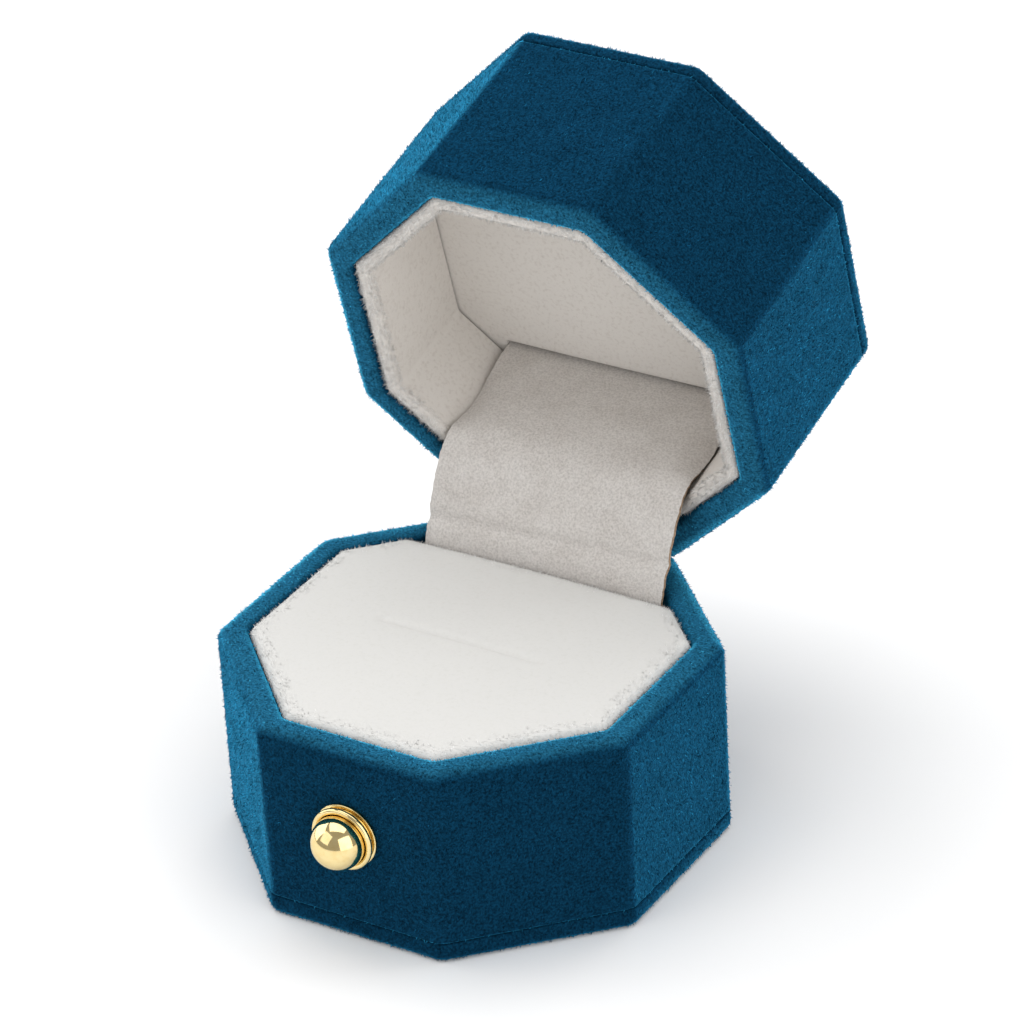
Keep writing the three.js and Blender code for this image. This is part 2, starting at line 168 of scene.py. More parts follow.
class TrimSettings(bpy.types.PropertyGroup):
    """The strap, the stud and the plain inner pieces."""

    strap_thickness: length("Strap thickness", "Thickness of the suede", 0.5 * MM)
    strap_wave: length("Strap wave", "Height of the suede's slow waves", 0.25 * MM)
    strap_hug: length("Strap hug", "How far its edges lean back to the lid's walls", 1.7 * MM)
    suede: hex_colour("Suede", "Face of the strap", "#dfdad5")
    suede_edge: hex_colour("Suede edge", "Cut edge and back of the strap", "#b39a80")
    gold: hex_colour("Gold", "Gold plate", "#f1dba2")
    steel: hex_colour("Steel", "Zinc-plated spring steel", "#a8a9a8")
    card: hex_colour("Card", "Tan card", "#b0916b")
    board: hex_colour("Board", "Bookbinding board", "#8f7d68")
    foam: hex_colour("Foam", "Polyurethane foam", "#dcd7cb")
    plastic: hex_colour("Plastic", "Moulded ABS", "#232427")


# Materials. The size of a grain is that of its blotches, in metres.

BLENDED = {"data_type": "RGBA", "blend_type": "MIX"}
MULTIPLIED = {"data_type": "RGBA", "blend_type": "MULTIPLY"}


def linear(code):
    """An sRGB hex colour as the linear RGBA that shaders use."""
    parts = [int(code[i : i + 2], 16) / 255 for i in (1, 3, 5)]
    return (*[c / 12.92 if c <= 0.04045 else ((c + 0.055) / 1.055) ** 2.4 for c in parts], 1.0)


def feed(tree, node, **inputs):
    """Sets a node's inputs, by name or as _number. Each is a value or another node's socket."""
    for key, value in inputs.items():
        socket = node.inputs[int(key[1:]) if key[1:].isdigit() else key.replace("_", " ")]
        if isinstance(value, bpy.types.NodeSocket):
            tree.links.new(value, socket)
        else:
            socket.default_value = value


def add(tree, kind, settings=None, stops=(), **inputs):
    """Adds a node with its settings, the (position, colour) stops of its ramp and its inputs."""
    made = tree.nodes.new(kind)
    for key, value in (settings or {}).items():
        setattr(made, key, value)
    for i, (position, colour) in enumerate(stops):
        ramp = made.color_ramp.elements
        stop = ramp[i] if i < len(ramp) else ramp.new(position)
        stop.position, stop.color = position, linear(colour)
    feed(tree, made, **inputs)
    return made


def new_material(name):
    """A material with an empty shader: itself, its tree, the shader and the object's own place."""
    material = bpy.data.materials.new(name)
    material.use_nodes = True
    tree = material.node_tree
    tree.nodes.clear()
    shader = add(tree, "ShaderNodeBsdfPrincipled")
    add(tree, "ShaderNodeOutputMaterial", Surface=shader.outputs[0])
    place = add(tree, "ShaderNodeTexCoord").outputs["Object"]
    return material, tree, shader, place


def grained(tree, place, size, dark, light, start=0.0, end=1.0, detail=2.0, rough=0.5):
    """A grain: its height, and its colour from dark in the hollows to light on the tops."""
    height = add(
        tree, "ShaderNodeTexNoise", Vector=place, Scale=1 / size, Detail=detail, Roughness=rough
    ).outputs["Fac"]
    stops = ((start, dark), (end, light))
    return height, add(tree, "ShaderNodeValToRGB", stops=stops, Fac=height).outputs["Color"]


def surface(tree, shader, colour, height=None, relief=0.0, strength=1.0, **even):
    """Gives a shader its colour, the values that are even all over it and its relief."""
    feed(tree, shader, Base_Color=colour, **even)
    if height is not None:
        bump = add(tree, "ShaderNodeBump", Height=height, Distance=relief, Strength=strength)
        feed(tree, shader, Normal=bump.outputs[0])


def velvet_surface(tree, shader, settings, shade, low, high, height=None, relief=0.0):
    """Velvet with a painted sheen: deep where it faces the eye and bright along its surface, where the
    pile's sides show.

    Marked faces get a painted highlight: brighter, from low on the flats to high on rims, and a
    little greener and paler.
    """
    # Painted sheen: the base colour runs from deep, facing the eye, to sheen, seen edge-on.
    facing = add(tree, "ShaderNodeLayerWeight", Blend=0.5).outputs["Facing"]
    stops = ((0.25, settings.deep), (0.5, settings.middle), (1.0, settings.sheen))
    colour = add(tree, "ShaderNodeValToRGB", stops=stops, Fac=facing).outputs["Color"]
    colour = add(tree, "ShaderNodeMix", MULTIPLIED, _0=1.0, _6=colour, _7=shade).outputs[2]
    # Painted highlight: marked faces, such as up-facing rims, are made brighter, greener and paler.
    painted_shine = add(tree, "ShaderNodeAttribute", {"attribute_name": "painted_shine"}).outputs["Fac"]
    value, purity, hue = (
        add(tree, "ShaderNodeMapRange", Value=painted_shine, To_Min=shut, To_Max=highlight_end).outputs[0]
        for shut, highlight_end in ((low, high), (1.0, 0.965), (0.5, 0.486))
    )
    colour = add(
        tree, "ShaderNodeHueSaturation", Hue=hue, Saturation=purity, Value=value, Color=colour
    ).outputs["Color"]
    even = {"Roughness": 0.9, "Specular_IOR_Level": 0.02}
    even.update(Sheen_Weight=0.2, Sheen_Roughness=0.4, Sheen_Tint=linear(settings.sheen))
    surface(tree, shader, colour, height, relief, **even)


def velvet_ground(settings):
    """Short-nap polyester velvet, woven and sheared: the dark depth under the fibre tips."""
    material, tree, shader, place = new_material("sheared_velvet_ground")
    grain, shade = grained(tree, place, 0.3 * MM, "#868686", "#ffffff", 0.3, 0.7, 2, 0.6)
    velvet_surface(tree, shader, settings, shade, 1.0, 2.6, grain, 0.12 * MM)
    return material


def velvet_nap(settings):
    """The nap's tufts: each has its own tone, and slow patches show where the pile was brushed."""
    material, tree, shader, place = new_material("sheared_velvet_nap")
    tone = add(tree, "ShaderNodeAttribute", {"attribute_name": "tone"}).outputs["Fac"]
    stops = ((0.0, "#7c7c7c"), (0.8, "#ffffff"))
    tufts = add(tree, "ShaderNodeValToRGB", stops=stops, Fac=tone).outputs["Color"]
    brushed = grained(tree, place, 6 * MM, "#bcbcbc", "#ffffff", 0.35, 0.65, 4, 0.6)[1]
    shade = add(tree, "ShaderNodeMix", MULTIPLIED, _0=1.0, _6=tufts, _7=brushed).outputs[2]
    velvet_surface(tree, shader, settings, shade, 1.4, 3.3)
    return material


def plush(name, light, shade, fibres):
    """Brushed white polyester plush, soft and matt. Its fibres vary one by one, its ground in blots."""
    material, tree, shader, place = new_material(name)
    even = {"Roughness": 1.0, "Specular_IOR_Level": 0.1, "Sheen_Weight": 0.1}
    if fibres:
        tone = add(tree, "ShaderNodeAttribute", {"attribute_name": "tone"}).outputs["Fac"]
        # The fibres run from the light colour up to near white, lighter than the ground: a painted
        # highlight on the collar's lip and the pad's edges, where they stand.
        stops = ((0.0, light), (1.0, "#fbfaf8"))
        colour = add(tree, "ShaderNodeValToRGB", stops=stops, Fac=tone).outputs["Color"]
        surface(tree, shader, colour, **even)
    else:
        blots, colour = grained(tree, place, 0.5 * MM, shade, light, 0.2, 0.5, 3, 0.6)
        surface(tree, shader, colour, blots, 0.06 * MM, 0.4, **even)
    return material


def suede_face(settings):
    """Microfibre suede: fine clumped grain and faint brushed patches."""
    material, tree, shader, place = new_material("microfibre_suede")
    grain, fine = grained(tree, place, 0.28 * MM, "#a9a39e", settings.suede, 0.32, 0.6, 3, 0.65)
    broad = grained(tree, place, 3.5 * MM, "#c6c0bb", "#dad6d2", 0.3, 0.7, 3)[1]
    colour = add(tree, "ShaderNodeMix", BLENDED, _0=0.45, _6=fine, _7=broad).outputs[2]
    even = {"Roughness": 0.95, "Specular_IOR_Level": 0.15, "Sheen_Weight": 0.25}
    surface(tree, shader, colour, grain, 0.16 * MM, 0.9, **even)
    return material


def suede_back(settings):
    """The suede's cut edge and flesh side: brown, fibrous."""
    material, tree, shader, place = new_material("suede_cut_edge")
    grain, colour = grained(tree, place, 0.25 * MM, "#6d523a", settings.suede_edge, 0.3, 0.7, 3)
    surface(tree, shader, colour, grain, 0.1 * MM, Roughness=0.95)
    return material


def gold_plate(settings):
    """Polished gold plate on brass: sharp reflections, slightly softened by fine polishing."""
    material, tree, shader, place = new_material("polished_gold_plate")
    colour = grained(tree, place, 0.9 * MM, "#ecd294", settings.gold, 0.35, 0.6, 3)[1]
    polish = add(tree, "ShaderNodeTexNoise", Vector=place, Scale=1 / (0.25 * MM), Detail=1.0)
    even = {"Metallic": 1.0, "Roughness": 0.09}
    surface(tree, shader, colour, polish.outputs["Fac"], 0.002 * MM, 0.5, **even)
    return material


def zinc_steel(settings):
    """Zinc-plated stamped steel: soft metallic with rolling marks along X."""
    material, tree, shader, place = new_material("zinc_plated_steel")
    drawn = add(tree, "ShaderNodeMapping", Vector=place, Scale=(0.08, 1.0, 1.0)).outputs[0]
    marks, colour = grained(tree, drawn, 0.3 * MM, "#8d8e8e", settings.steel, 0.3, 0.7, 3)
    surface(tree, shader, colour, marks, 0.01 * MM, Metallic=1.0, Roughness=0.36)
    return material


def fibre_stock(name, base, dark, size):
    """Card or board: pressed fibres in fine layers that lie along Z."""
    material, tree, shader, place = new_material(name)
    pressed = add(tree, "ShaderNodeMapping", Vector=place, Scale=(0.25, 0.25, 1.6)).outputs[0]
    fibres, colour = grained(tree, pressed, size, dark, base, 0.35, 0.65, 4, 0.7)
    surface(tree, shader, colour, fibres, 0.05 * MM, Roughness=0.9, Specular_IOR_Level=0.2)
    return material


def cut_foam(settings):
    """Cut polyurethane foam: open cells about half a millimetre across."""
    material, tree, shader, place = new_material("cut_polyurethane_foam")
    cells = add(tree, "ShaderNodeTexVoronoi", Vector=place, Scale=1 / (0.5 * MM)).outputs["Distance"]
    stops = ((0.2, settings.foam), (0.8, "#a9a294"))
    colour = add(tree, "ShaderNodeValToRGB", stops=stops, Fac=cells).outputs["Color"]
    surface(tree, shader, colour, cells, -0.15 * MM, Roughness=1.0)
    return material


def moulded_abs(settings):
    """Moulded ABS: a fine spark-eroded grain and a low gloss."""
    material, tree, shader, place = new_material("moulded_abs")
    grain, colour = grained(tree, place, 0.2 * MM, "#1c1d1f", settings.plastic)
    surface(tree, shader, colour, grain, 0.01 * MM, Roughness=0.5)
    return material


# Mesh helpers.

FLAT_MARGIN = 0.5 * MM
LARGE_FACE = 40 * MM**2


def finish_piece(name, bm, body, materials, place=None, replaces=()):
    """Turns a bmesh into a finished piece: placed in its mesh, riding its body, in its material."""
    bmesh.ops.remove_doubles(bm, verts=bm.verts, dist=0.0005 * MM)
    if place is not None:
        bmesh.ops.transform(bm, matrix=place, verts=bm.verts)
    bmesh.ops.recalc_face_normals(bm, faces=bm.faces)
    mesh = bpy.data.meshes.new(name)
    bm.to_mesh(mesh)
    bm.free()
    mesh.shade_smooth()
    mesh.set_sharp_from_angle(angle=math.radians(50))
    piece = bpy.data.objects.new(name, mesh)
    bpy.context.scene.collection.objects.link(piece)
    for material in materials:
        mesh.materials.append(material)
    if body:
        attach(piece, body)
    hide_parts(*replaces)
    return piece


def quarter(flat, z, radius, start, end, steps=5):
    """Points on a quarter round of a section, from one angle to the next, in degrees."""
    angles = [math.radians(start + (end - start) * i / steps) for i in range(steps + 1)]
    return [(flat + radius * math.cos(a), z + radius * math.sin(a)) for a in angles]


def section_wire(bm, section, closed):
    """A section of (flat, z) points, standing on the corner that lies 22.5 degrees past +X."""
    turn = Matrix.Rotation(math.pi / SIDES, 3, "Z")
    verts = [bm.verts.new(turn @ Vector((flat * CORNER, 0, z))) for flat, z in section]
    pairs = list(zip(verts, verts[1:])) + ([(verts[-1], verts[0])] if closed else [])
    return verts, [bm.edges.new(pair) for pair in pairs]


def octagonal(section, corner_round, closed=True):
    """Spins a section round eight flat sides and rounds the upright corners."""
    bm = bmesh.new()
    verts, edges = section_wire(bm, section, closed)
    bmesh.ops.spin(
        bm,
        geom=verts + edges,
        axis=(0, 0, 1),
        cent=(0, 0, 0),
        angle=2 * math.pi,
        steps=SIDES,
        use_merge=True,
    )
    bmesh.ops.remove_doubles(bm, verts=bm.verts, dist=0.001 * MM)

    def heading(v):
        return math.atan2(v.co.y, v.co.x)

    uprights = [
        e
        for e in bm.edges
        if abs(math.remainder(heading(e.verts[0]) - heading(e.verts[1]), 2 * math.pi)) < 0.01
    ]
    bmesh.ops.bevel(
        bm,
        geom=uprights,
        offset=corner_round * math.tan(math.pi / SIDES),
        offset_type="OFFSET",
        affect="EDGES",
        segments=5,
        profile=0.5,
        material=-1,
    )
    return bm


def hold_flats(bm):
    """Insets the large faces, so that smooth shading stays flat away from the rounded edges."""
    large = [f for f in bm.faces if f.calc_area() > LARGE_FACE and len(f.verts) == 4]
    bmesh.ops.inset_individual(bm, faces=large, thickness=FLAT_MARGIN)


def cut_back(bm, y):
    """Cuts away what lies behind y and closes the cut."""
    geom = bm.verts[:] + bm.edges[:] + bm.faces[:]
    bmesh.ops.bisect_plane(
        bm, geom=geom, plane_co=(0, y, 0), plane_no=(0, 1, 0), clear_outer=True, dist=0.001 * MM
    )
    bmesh.ops.holes_fill(bm, edges=[e for e in bm.edges if e.is_boundary], sides=0)


def mark(mesh, label, values):
    """Gives each vertex of a mesh a value that a material reads."""
    layer = mesh.attributes.new(label, "FLOAT", "POINT")
    layer.data.foreach_set("value", values.astype(np.float32))


def painted_highlight(normals, highlight_towards):
    """How strong the painted highlight is, 0 to 1, on surfaces that point to highlight_towards."""
    return np.clip((normals @ np.array(highlight_towards) - 0.3) / 0.6, 0, 1)


def octagon_reach(points):
    """Each point's heading, and how far out it lies towards the flat side that it is nearest."""
    side = 2 * math.pi / SIDES
    heading = np.arctan2(points[:, 1], points[:, 0])
    off = (heading + side / 2) % side - side / 2
    return heading, np.hypot(points[:, 0], points[:, 1]) * np.cos(off)


def as_drawn(place, centres, normals):
    """Centres and normals taken back from where a piece lies to where it was drawn."""
    home = np.array(place.inverted())
    return centres @ home[:3, :3].T + home[:3, 3], normals @ home[:3, :3].T


def scattered_roots(mesh, rng, density, keep):
    """Random points on the triangles that keep lets through, with the surface's normals there."""
    mesh.calc_loop_triangles()
    corners = np.empty(len(mesh.loop_triangles) * 3, np.int32)
    mesh.loop_triangles.foreach_get("vertices", corners)
    co, no = np.empty(len(mesh.vertices) * 3), np.empty(len(mesh.vertices) * 3)
    mesh.vertices.foreach_get("co", co)
    mesh.vertex_normals.foreach_get("vector", no)
    triangles = co.reshape(-1, 3)[corners.reshape(-1, 3)]
    normals = no.reshape(-1, 3)[corners.reshape(-1, 3)]
    cross = np.cross(triangles[:, 1] - triangles[:, 0], triangles[:, 2] - triangles[:, 0])
    area = np.linalg.norm(cross, axis=1) / 2
    facing = cross / np.maximum(2 * area, 1e-18)[:, None]
    wanted = keep(triangles.mean(1), facing)
    triangles, normals, area = triangles[wanted], normals[wanted], area[wanted]
    total = int(area.sum() * density / MM**2)
    which = rng.choice(len(area), total, p=area / area.sum())
    u, v = rng.random(total), rng.random(total)
    over = u + v > 1
    u[over], v[over] = 1 - u[over], 1 - v[over]
    weight = np.stack([1 - u - v, u, v], 1)[:, :, None]
    return (triangles[which] * weight).sum(1), unit((normals[which] * weight).sum(1))


def unit(vectors):
    return vectors / np.linalg.norm(vectors, axis=1)[:, None]


# How a fibre stands: its rise off the surface, the least lift that keeps its tip out of it, how
# far its lean and its shading stray at random, and how deep its foot is sunk.
RISE, LEAST_LIFT = 0.5, 0.25
LEAN_STRAY, SHADING_STRAY = 0.45, 0.12
FOOT = 0.05 * MM
# A spike's corners are the three of its foot and then its tip.
SPIKE = np.array([[0, 2, 1], [0, 1, 3], [1, 2, 3], [2, 0, 3]])


def pile(piece, name, material, rng, density, fibre, width, lean, keep, highlight_towards=()):
    """A piece's raised fibres: slim closed spikes rooted all over the faces that keep lets through.

    lean is a direction that the pile is brushed in, and keep takes arrays of centres and normals.
    Each spike is shaded as the surface that it stands on, tilted a little at random, because a
    pile scatters light as one soft surface. Pile that points to highlight_towards, as on a rim,
    gets a painted highlight.
    """
    root, out = scattered_roots(piece.data, rng, density, keep)
    total = len(root)
    lean = np.array(lean) - out * (out @ np.array(lean))[:, None]
    along = unit(out * RISE + lean + rng.normal(0, LEAN_STRAY, (total, 3)))
    lift = (along * out).sum(1)
    along += out * np.maximum(LEAST_LIFT - lift, 0)[:, None]
    side = unit(np.cross(along, rng.normal(0, 1, (total, 3))))
    other = np.cross(along, side) * math.sqrt(3) / 2
    half = width * rng.uniform(0.7, 1.3, total)[:, None] / 2
    tall = fibre * rng.uniform(0.55, 1.15, total)[:, None]
    foot = root - out * FOOT
    near, far = foot + side * half, foot - side * half / 2
    points = np.stack([near, far + other * half, far - other * half, foot + along * tall], 1)
    faces = (np.arange(total)[:, None, None] * 4 + SPIKE).reshape(-1, 3)
    made = bpy.data.meshes.new(name)
    made.vertices.add(total * 4)
    made.vertices.foreach_set("co", points.ravel())
    made.loops.add(len(faces) * 3)
    made.loops.foreach_set("vertex_index", faces.ravel().astype(np.int32))
    made.polygons.add(len(faces))
    made.polygons.foreach_set("loop_start", np.arange(len(faces), dtype=np.int32) * 3)
    made.update(calc_edges=True)
    made.shade_smooth()
    shading = unit(out + rng.normal(0, SHADING_STRAY, (total, 3)))
    made.normals_split_custom_set_from_vertices(np.repeat(shading, 4, axis=0))
    mark(made, "tone", np.repeat(rng.random(total), 4))
    # Painted highlight on the pile that points to highlight_towards.
    if highlight_towards:
        mark(made, "painted_shine", np.repeat(painted_highlight(out, highlight_towards), 4))
    made.materials.append(material)
    fibres = bpy.data.objects.new(name, made)
    bpy.context.scene.collection.objects.link(fibres)
    return fibres


# The velvet halves.

SEAM_GAP = 0.12 * MM  # between a wall's cover and its plate's
LIP_DEPTH = 7 * MM  # of the velvet down the inside of the rim
TRAY_GAP = 0.3 * MM  # between that velvet and the tray


def cover_section(velvet, bottom, rim):
    """The wall cover's section, up the outside, over the rim and down the lip."""
    outer, skin = OUTER_FLAT, velvet.cover
    lip = TRAY_FLAT + TRAY_GAP
    seam = velvet.seam_round
    outside = quarter(outer - seam, bottom + seam, seam, -90, 0, 3)
    outside += quarter(outer - velvet.rim_round, rim - velvet.rim_round, velvet.rim_round, 0, 90, 7)
    outside += quarter(lip + velvet.lip_round, rim - velvet.lip_round, velvet.lip_round, 90, 180)
    inside = [
        (lip, rim - LIP_DEPTH),
        (lip + skin, rim - LIP_DEPTH),
        (lip + skin, rim - skin),
        (outer - skin, rim - skin),
        (outer - skin, bottom),
    ]
    return outside + inside


def split_at(bm, place, normal):
    """Cuts every face along a plane."""
    geom = bm.verts[:] + bm.edges[:] + bm.faces[:]
    bmesh.ops.bisect_plane(bm, geom=geom, plane_co=place, plane_no=normal, dist=0.0001 * MM)


def bevel_back(bm, rim, skin):
    """Slopes the rim down behind the hinge, so that the halves clear each other when open.

    The slope ends in a round that drops off behind edge. The inner skin stays a skin lower.
    """
    pivot_z = rim + PIVOT.z - BASE_RIM
    slope = math.tan(SWING / 2 + math.radians(2))
    edge, middle_of_round = OUTER_FLAT - 0.9 * MM, OUTER_FLAT - 0.4 * MM
    fall_off = 0.35 / MM
    for y in (PIVOT.y, edge, middle_of_round):
        split_at(bm, (0, y, 0), (0, 1, 0))
    for v in bm.verts:
        if v.co.y < PIVOT.y - 0.001 * MM:
            continue
        fall = max(v.co.y - edge, 0)
        top = pivot_z - (v.co.y - PIVOT.y) * slope - fall**2 * fall_off
        inner = v.co.z < rim - 0.9 * skin and v.co.y < OUTER_FLAT - 0.9 * skin
        v.co.z = min(v.co.z, top - (skin if inner else 0))


def notch_back(bm):
    """Takes the velvet away over the hinge and closes the cut skin."""
    behind = OUTER_FLAT - 1 * MM
    split_at(bm, (0, behind, 0), (0, 1, 0))
    for x in (-NOTCH_HALF, NOTCH_HALF):
        split_at(bm, (x, 0, 0), (1, 0, 0))

    def over_hinge(f):
        middle = f.calc_center_median()
        return abs(middle.x) < NOTCH_HALF and 0.5 * OUTER_FLAT < middle.y < behind

    gone = [f for f in bm.faces if over_hinge(f)]
    bmesh.ops.delete(bm, geom=gone, context="FACES")
    open_edges = [e for e in bm.edges if e.is_boundary]
    across = [e for e in open_edges if abs(e.verts[0].co.x - e.verts[1].co.x) > MM]
    caps = [e for e in open_edges if e not in across]
    ties = []
    for side in (-1, 1):
        corners = [v for e in across for v in e.verts if v.co.x * side > 0.9 * NOTCH_HALF]
        ties.append(bm.edges.new(corners))
        cap = [e for e in caps if e.verts[0].co.x * side > 0]
        bmesh.ops.edgeloop_fill(bm, edges=cap + [ties[-1]])
    bmesh.ops.edgeloop_fill(bm, edges=across + ties)


def wall_cover_mesh(velvet, bottom, rim):
    """A wall's velvet, with the bevel and the hinge notch in its back rim."""
    bm = octagonal(cover_section(velvet, bottom, rim), velvet.corner_round)
    hold_flats(bm)
    bevel_back(bm, rim, velvet.cover)
    notch_back(bm)
    return bm


def plate_cover_mesh(velvet, height):
    """The plate's velvet: a shallow tray with a rounded outer edge."""
    skin, seam, edge = velvet.cover, velvet.seam_round, velvet.plate_round
    section = [(OUTER_FLAT * 0.5, 0)]
    section += quarter(OUTER_FLAT - edge, edge, edge, -90, 0)
    section += quarter(OUTER_FLAT - seam, height - seam, seam, 0, 90, 3)
    section += [(OUTER_FLAT - skin, height), (OUTER_FLAT - skin, skin), (OUTER_FLAT * 0.5, skin)]
    bm = octagonal(section, velvet.corner_round, closed=False)
    bmesh.ops.holes_fill(bm, edges=[e for e in bm.edges if e.is_boundary], sides=0)
    hold_flats(bm)
    return bm


def seen_outside(other_faces, place):
    """Keeps the faces on the outside of a half, away from its inner skin, and other_faces."""

    def keep(centres, normals):
        local, turned = as_drawn(place, centres, normals)
        heading, reach = octagon_reach(local)
        outward = turned[:, 0] * np.cos(heading) + turned[:, 1] * np.sin(heading)
        wall = (outward > 0.3) & (reach > OUTER_FLAT - 1.5 * MM)
        return wall | other_faces(reach, local, turned)

    return keep


class VelvetPiece:
    """What the four velvet operators share."""

    bl_options = {"REGISTER", "UNDO"}

    def materials(self, context):
        velvet = context.scene.ring_velvet
        ground = bpy.data.materials.get("sheared_velvet_ground") or velvet_ground(velvet)
        nap = bpy.data.materials.get("sheared_velvet_nap") or velvet_nap(velvet)
        return velvet, ground, nap

    def nap_on(self, piece, body, nap, velvet, seed, brushed, keep, highlight_towards):
        fibres = pile(
            piece,
            piece.name + "_nap",
            nap,
            np.random.default_rng(seed),
            velvet.nap_per_mm2,
            velvet.nap_length,
            velvet.nap_width,
            brushed,
            keep,
            highlight_towards,
        )
        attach(fibres, body)

    def wall(self, context, name, node, body, bottom, rim, place, seed):
        velvet, ground, nap = self.materials(context)
        bm = wall_cover_mesh(velvet, bottom, rim)
        piece = finish_piece(name, bm, body, [ground], place, [node])

        def rim_face(reach, local, turned):
            top = (turned[:, 2] > 0.2) & (local[:, 2] > rim - 2.5 * MM)
            lip = (reach < TRAY_FLAT + 1 * MM) & (local[:, 2] > rim - 1.6 * MM)
            return top | lip

        brushed = (place.to_3x3() @ Vector((-0.35, -0.2, -0.6)))[:]
        # Faces that point up in the half's own frame, as its rim does, get a painted highlight, ground
        # and nap alike.
        highlight_towards = (place.to_3x3() @ Vector((0, 0, 1)))[:]
        normals = np.empty(len(piece.data.vertices) * 3)
        piece.data.vertex_normals.foreach_get("vector", normals)
        mark(piece.data, "painted_shine", painted_highlight(normals.reshape(-1, 3), highlight_towards))
        keep = seen_outside(rim_face, place)
        self.nap_on(piece, body, nap, velvet, seed, brushed, keep, highlight_towards)

    def plate(self, context, name, node, body, height, place, seed, napped_face):
        velvet, ground, nap = self.materials(context)
        piece = finish_piece(
            name, plate_cover_mesh(velvet, height), body, [ground], place, [node]
        )

        def outer_face(reach, local, turned):
            return (turned[:, 2] < -0.3) & napped_face

        brushed = (place.to_3x3() @ Vector((-0.15, -0.3, -0.6)))[:]
        self.nap_on(piece, body, nap, velvet, seed, brushed, seen_outside(outer_face, place), ())


class RINGBOX_OT_base_cover(VelvetPiece, bpy.types.Operator):
    """Velvet over the base's wall and rim, with its nap"""

    bl_idname = "ringbox.base_cover"
    bl_label = "Base velvet"

    def execute(self, context):
        bottom = BASE_SEAM + SEAM_GAP
        self.wall(context, "base_cover", "base_velvet", "base", bottom, BASE_RIM, Matrix(), 11)
        return {"FINISHED"}


class RINGBOX_OT_bottom_cover(VelvetPiece, bpy.types.Operator):
    """Velvet round the base's bottom plate"""

    bl_idname = "ringbox.bottom_cover"
    bl_label = "Bottom velvet"

    def execute(self, context):
        self.plate(context, "bottom_cover", "bottom_velvet", "base", BASE_SEAM, Matrix(), 12, False)
        return {"FINISHED"}


class RINGBOX_OT_lid_cover(VelvetPiece, bpy.types.Operator):
    """Velvet over the lid's wall and rim, with its nap"""

    bl_idname = "ringbox.lid_cover"
    bl_label = "Lid velvet"

    def execute(self, context):
        height = LID_TOP - LID_RIM
        bottom = LID_TOP - LID_SEAM + SEAM_GAP
        self.wall(context, "lid_cover", "lid_velvet", "lid", bottom, height, LID_PLACE, 13)
        return {"FINISHED"}


class RINGBOX_OT_top_cover(VelvetPiece, bpy.types.Operator):
    """Velvet over the lid's top plate, with its nap"""

    bl_idname = "ringbox.top_cover"
    bl_label = "Top velvet"

    def execute(self, context):
        height = LID_TOP - LID_SEAM
        self.plate(context, "top_cover", "top_velvet", "lid", height, LID_PLACE, 14, True)
        return {"FINISHED"}


# Plush pieces.

def bell(x, middle, width):
    """A bell curve: 1 in the middle, falling away on both sides."""
    return math.exp(-(((x - middle) / width) ** 2))


def plush_panel(flat, back, face, crown, rounding, skirt, tuck=0.0, slot=None, wing=0.0):
    """A padded octagonal panel with a straight back edge, crowned, its upper edge rolled over.

    The skirt is tucked in under the rolled edge. slot is (y, half length, depth, mouth) of a slit
    that the two rolls of the pad close on. wing is how far the back edge reaches on both sides of
    the strap.
    """
    step = 0.5 * MM
    count = int(2 * flat / step)
    bm = bmesh.new()
    bmesh.ops.create_grid(bm, x_segments=count, y_segments=count, size=flat)
    if slot:
        near = min((v.co.y for v in bm.verts), key=lambda y: abs(y - slot[0]))
        bmesh.ops.translate(bm, vec=(0, slot[0] - near, 0), verts=bm.verts)
    sides = [(math.cos(a), math.sin(a), flat) for a in [2 * math.pi / SIDES * i for i in range(SIDES)]]
    for x, y, reach in sides + [(0, 1, back)]:
        bmesh.ops.bisect_plane(
            bm,
            geom=bm.verts[:] + bm.edges[:] + bm.faces[:],
            plane_co=(x * reach, y * reach, 0),
            plane_no=(x, y, 0),
            clear_outer=True,
            dist=0.01 * MM,
        )
    for v in bm.verts:
        if wing and v.co.y > back - 0.01 * MM and abs(v.co.x) > STRAP_HIGH.x + 0.3 * MM:
            v.co.y += wing
            v.co.x = math.copysign(min(abs(v.co.x), flat * math.sqrt(2) - v.co.y), v.co.x)
    below = {}
    for level, z in ((1, face - rounding - 0.2 * MM), (2, face - skirt)):
        rim_edges = [e for e in bm.edges if e.is_boundary]
        made = bmesh.ops.extrude_edge_only(bm, edges=rim_edges)["geom"]
        wall = [v for v in made if isinstance(v, bmesh.types.BMVert)]
        if level == 1:
            shrink = 1 - tuck / flat
            bmesh.ops.scale(bm, vec=(shrink, shrink, 1), verts=wall)
        below.update((v, z) for v in wall)
    for v in bm.verts:
        if v in below:
            v.co.z = below[v]
            continue
        depth = min([reach - (v.co.x * x + v.co.y * y) for x, y, reach in sides + [(0, 1, back)]])
        depth = max(depth, 0)
        roll = max(rounding - depth, 0)
        drop = rounding - math.sqrt(max(rounding**2 - roll**2, 0))
        spread = Vector((v.co.x, v.co.y)).length / flat
        v.co.z = face + crown * max(1 - spread**2, 0) - drop
        if slot:
            y, half, deep, mouth = slot
            ends = min(max((half - abs(v.co.x)) / (2 * mouth), 0), 1)
            hollow = 0.1 * MM * bell(v.co.y, y, 2.5 * MM)
            v.co.z -= ends * (deep * bell(v.co.y, y, mouth) + hollow)
    bmesh.ops.holes_fill(bm, edges=[e for e in bm.edges if e.is_boundary], sides=0)
    return bm


